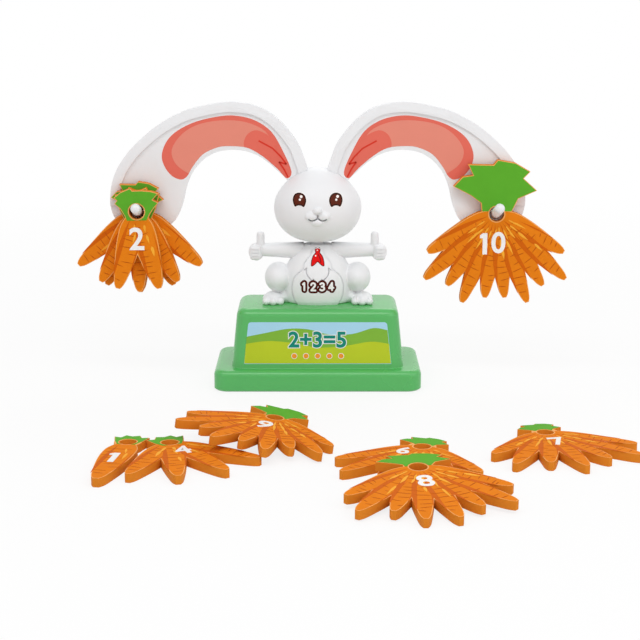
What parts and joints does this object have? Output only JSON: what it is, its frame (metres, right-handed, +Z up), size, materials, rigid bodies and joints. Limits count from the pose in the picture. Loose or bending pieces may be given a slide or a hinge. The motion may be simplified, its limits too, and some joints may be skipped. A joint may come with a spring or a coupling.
{
  "type": "math balance",
  "caption": "Rabbit balance toy: the head and long ears tilt as a beam on a green base, and numbered bunches of carrots hang on a peg at each ear.",
  "frame": {"origin": "middle of the underside of the base, on the table", "axes": "+Z up, +X along the ears to the viewer's right, +Y towards the rabbit's back"},
  "size_m": [0.3563, 0.3407, 0.1936],
  "materials": {
    "green_plastic": "satin",
    "white_plastic": "satin",
    "pink_sticker": "satin",
    "label_sticker": "satin",
    "red_sticker": "gloss",
    "brown_sticker": "gloss",
    "orange_plastic": "satin",
    "screw_steel": "satin"
  },
  "bodies": {
    "base": {"base_shell": "green_plastic", "base_bottom_cover": "green_plastic", "base_cover_screw_1": "screw_steel", "base_cover_screw_2": "screw_steel", "base_cover_screw_3": "screw_steel", "base_cover_screw_4": "screw_steel", "base_label": "label_sticker", "neck_post": "white_plastic", "post_screw": "screw_steel", "body_front_shell": "white_plastic", "body_back_shell": "white_plastic", "arm_left": "white_plastic", "arm_right": "white_plastic", "foot_screw_left": "screw_steel", "foot_screw_right": "screw_steel", "body_screw_left": "screw_steel", "body_screw_right": "screw_steel", "bow_sticker": "red_sticker"},
    "beam": {"head_front_shell": "white_plastic", "head_back_shell": "white_plastic", "head_screw_1": "screw_steel", "head_screw_2": "screw_steel", "head_screw_3": "screw_steel", "pivot_pin": "screw_steel", "eye_sticker_left": "brown_sticker", "eye_sticker_right": "brown_sticker", "ear_left": "white_plastic", "ear_right": "white_plastic", "ear_sticker_left": "pink_sticker", "ear_sticker_right": "pink_sticker", "peg_left": "white_plastic", "peg_right": "white_plastic"},
    "weight_1": {"weight_1": "orange_plastic"},
    "weight_2": {"weight_2": "orange_plastic"},
    "weight_3": {"weight_3": "orange_plastic"},
    "weight_4": {"weight_4": "orange_plastic"},
    "weight_5": {"weight_5": "orange_plastic"},
    "weight_6": {"weight_6": "orange_plastic"},
    "weight_7": {"weight_7": "orange_plastic"},
    "weight_8": {"weight_8": "orange_plastic"},
    "weight_9": {"weight_9": "orange_plastic"},
    "weight_10": {"weight_10": "orange_plastic"}
  },
  "joints": [
    {"name": "ear_beam_tilt", "type": "hinge", "parent": "base", "child": "beam", "pos_m": [0, 0.003, 0.133], "axis": [0, 1, 0], "range_deg": [-12, 12]},
    {"name": "weight_5_off_peg", "type": "slide", "parent": "beam", "child": "weight_5", "axis": [0, -0.9613, 0.2756], "range_m": [0, 0.028]},
    {"name": "weight_3_off_peg", "type": "slide", "parent": "weight_5", "child": "weight_3", "axis": [0, -0.9613, 0.2756], "range_m": [0, 0.022]},
    {"name": "weight_2_off_peg", "type": "slide", "parent": "weight_3", "child": "weight_2", "axis": [0, -0.9613, 0.2756], "range_m": [0, 0.016]},
    {"name": "weight_10_off_peg", "type": "slide", "parent": "beam", "child": "weight_10", "axis": [0, -0.9613, 0.2756], "range_m": [0, 0.028]},
    {"name": "weight_1_lift", "type": "slide", "parent": "base", "child": "weight_1", "axis": [0, 0, 1], "range_m": [0, 0.04]},
    {"name": "weight_4_lift", "type": "slide", "parent": "base", "child": "weight_4", "axis": [0, 0, 1], "range_m": [0, 0.04]},
    {"name": "weight_9_lift", "type": "slide", "parent": "weight_4", "child": "weight_9", "axis": [0, 0, 1], "range_m": [0, 0.04]},
    {"name": "weight_6_lift", "type": "slide", "parent": "base", "child": "weight_6", "axis": [0, 0, 1], "range_m": [0, 0.04]},
    {"name": "weight_8_lift", "type": "slide", "parent": "weight_6", "child": "weight_8", "axis": [0, 0, 1], "range_m": [0, 0.04]},
    {"name": "weight_7_lift", "type": "slide", "parent": "base", "child": "weight_7", "axis": [0, 0, 1], "range_m": [0, 0.04]}
  ]
}
